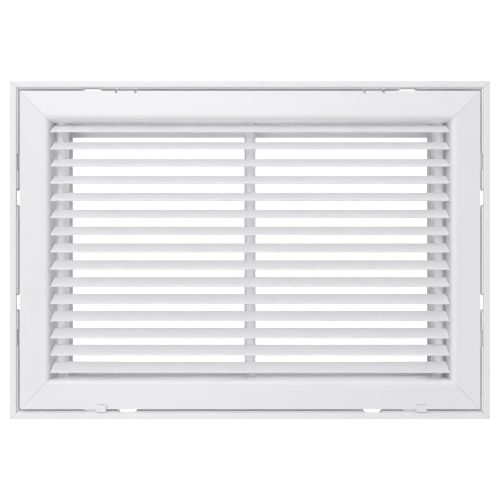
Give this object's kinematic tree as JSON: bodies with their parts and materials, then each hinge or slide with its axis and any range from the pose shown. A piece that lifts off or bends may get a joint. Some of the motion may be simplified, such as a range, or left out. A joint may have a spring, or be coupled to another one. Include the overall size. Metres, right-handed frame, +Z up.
{
  "type": "return air filter grille",
  "caption": "White return air grille: a flanged duct surround with a top-hung louvred door of sloped blades on round mullions, held shut by sliding catches.",
  "frame": {"origin": "centre of the duct mouth on the wall plane", "axes": "+X right along the face, +Y into the wall and duct, +Z up; the door faces -Y"},
  "size_m": [0.524, 0.052, 0.369],
  "materials": {
    "frame_coat": "satin white powder coat",
    "blade_coat": "satin white powder coat",
    "tube_coat": "semi-gloss pale grey-white coat",
    "white_nylon": "moulded white nylon",
    "grey_nylon": "moulded grey nylon",
    "zinc_steel": "bright zinc-plated steel"
  },
  "bodies": {
    "surround": {"left_hinge_bracket": "zinc_steel", "left_hinge_pin": "zinc_steel", "left_keeper": "zinc_steel", "right_hinge_bracket": "zinc_steel", "right_hinge_pin": "zinc_steel", "right_keeper": "zinc_steel", "surround_bottom_left_key": "zinc_steel", "surround_bottom_rail": "frame_coat", "surround_bottom_right_key": "zinc_steel", "surround_left_rail": "frame_coat", "surround_right_rail": "frame_coat", "surround_top_left_key": "zinc_steel", "surround_top_rail": "frame_coat", "surround_top_right_key": "zinc_steel"},
    "door": {"blade_01": "blade_coat", "blade_02": "blade_coat", "blade_03": "blade_coat", "blade_04": "blade_coat", "blade_05": "blade_coat", "blade_06": "blade_coat", "blade_07": "blade_coat", "blade_08": "blade_coat", "blade_09": "blade_coat", "blade_10": "blade_coat", "blade_11": "blade_coat", "blade_12": "blade_coat", "blade_13": "blade_coat", "blade_14": "blade_coat", "blade_15": "blade_coat", "door_bottom_left_key": "zinc_steel", "door_bottom_rail": "frame_coat", "door_bottom_right_key": "zinc_steel", "door_left_rail": "frame_coat", "door_right_rail": "frame_coat", "door_top_left_key": "zinc_steel", "door_top_rail": "frame_coat", "door_top_right_key": "zinc_steel", "left_hinge_leaf": "zinc_steel", "left_mullion_tube": "tube_coat", "middle_mullion_tube": "tube_coat", "mullion_plugs": "grey_nylon", "right_hinge_leaf": "zinc_steel", "right_mullion_tube": "tube_coat"},
    "left_catch": {"left_catch": "white_nylon"},
    "right_catch": {"right_catch": "white_nylon"}
  },
  "joints": [
    {"name": "door_hinge", "type": "hinge", "parent": "surround", "child": "door", "pos_m": [0, -0.0046, 0.1711], "axis": [-1, 0, 0], "range_deg": [0, 90]},
    {"name": "left_catch_slide", "type": "slide", "parent": "door", "child": "left_catch", "axis": [-1, 0, 0], "range_m": [0, 0.008]},
    {"name": "right_catch_slide", "type": "slide", "parent": "door", "child": "right_catch", "axis": [-1, 0, 0], "range_m": [0, 0.008]}
  ]
}
